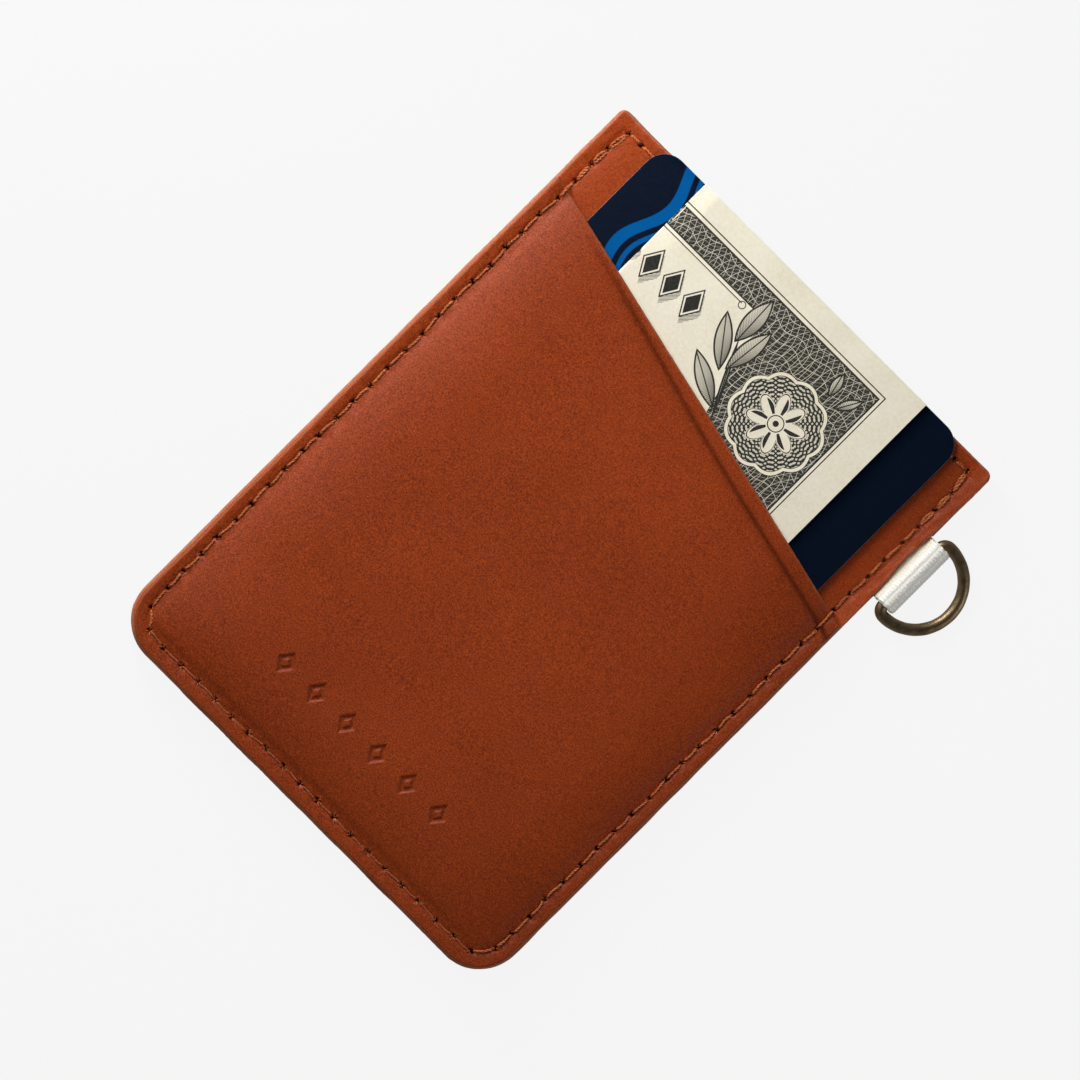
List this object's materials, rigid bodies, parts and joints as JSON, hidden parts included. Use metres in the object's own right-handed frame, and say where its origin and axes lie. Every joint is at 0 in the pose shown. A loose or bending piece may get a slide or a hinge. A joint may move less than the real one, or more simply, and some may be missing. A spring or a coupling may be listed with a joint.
{
  "type": "card wallet",
  "caption": "Slim upright leather card wallet with a slanted front pocket, a flat back pocket, a webbing loop with a D-ring, and a card and folded banknote inside.",
  "frame": {"origin": "centre of the leather's back face, on which the wallet lies", "axes": "+Z out of the front face, +Y along the long side towards the pocket mouths, +X towards the D-ring"},
  "size_m": [0.076, 0.0928, 0.0058],
  "materials": {
    "leather": "vegetable-tanned, waxed, fine grain",
    "thread": "waxed sewing thread",
    "webbing": "ribbed grosgrain webbing",
    "ring_brass": "antique brass plate",
    "card_plastic": "satin laminate",
    "chip_gold": "gold-plated contacts",
    "stripe_film": "magnetic film",
    "banknote_paper": "printed cotton paper"
  },
  "bodies": {
    "wallet": {"back_pocket_panel": "leather", "lining_panel": "leather", "centre_panel": "leather", "front_pocket_panel": "leather", "outer_seam_needle_thread": "thread", "outer_seam_bobbin_thread": "thread", "top_seam_needle_thread": "thread", "top_seam_bobbin_thread": "thread", "webbing_tail_back": "webbing", "webbing_tail_front": "webbing"},
    "loop": {"webbing_loop": "webbing"},
    "ring": {"d_ring": "ring_brass"},
    "card": {"card_body": "card_plastic", "card_chip_module": "chip_gold", "card_magnetic_stripe": "stripe_film"},
    "banknote": {"folded_banknote": "banknote_paper"}
  },
  "joints": [
    {"name": "loop_flex", "type": "hinge", "parent": "wallet", "child": "loop", "pos_m": [0.03385, 0.0298, 0.0022], "axis": [0, -1, 0], "range_deg": [-22, 22], "stiffness_Nm_per_rad": 0.002},
    {"name": "ring_swing", "type": "hinge", "parent": "loop", "child": "ring", "pos_m": [0.03495, 0.0298, 0.0022], "axis": [0, -1, 0], "range_deg": [-78, 101]},
    {"name": "card_slide", "type": "slide", "parent": "wallet", "child": "card", "axis": [0, 1, 0], "range_m": [-0.0015, 0.088]},
    {"name": "banknote_slide", "type": "slide", "parent": "wallet", "child": "banknote", "axis": [0, 1, 0], "range_m": [-0.018, 0.069]}
  ]
}
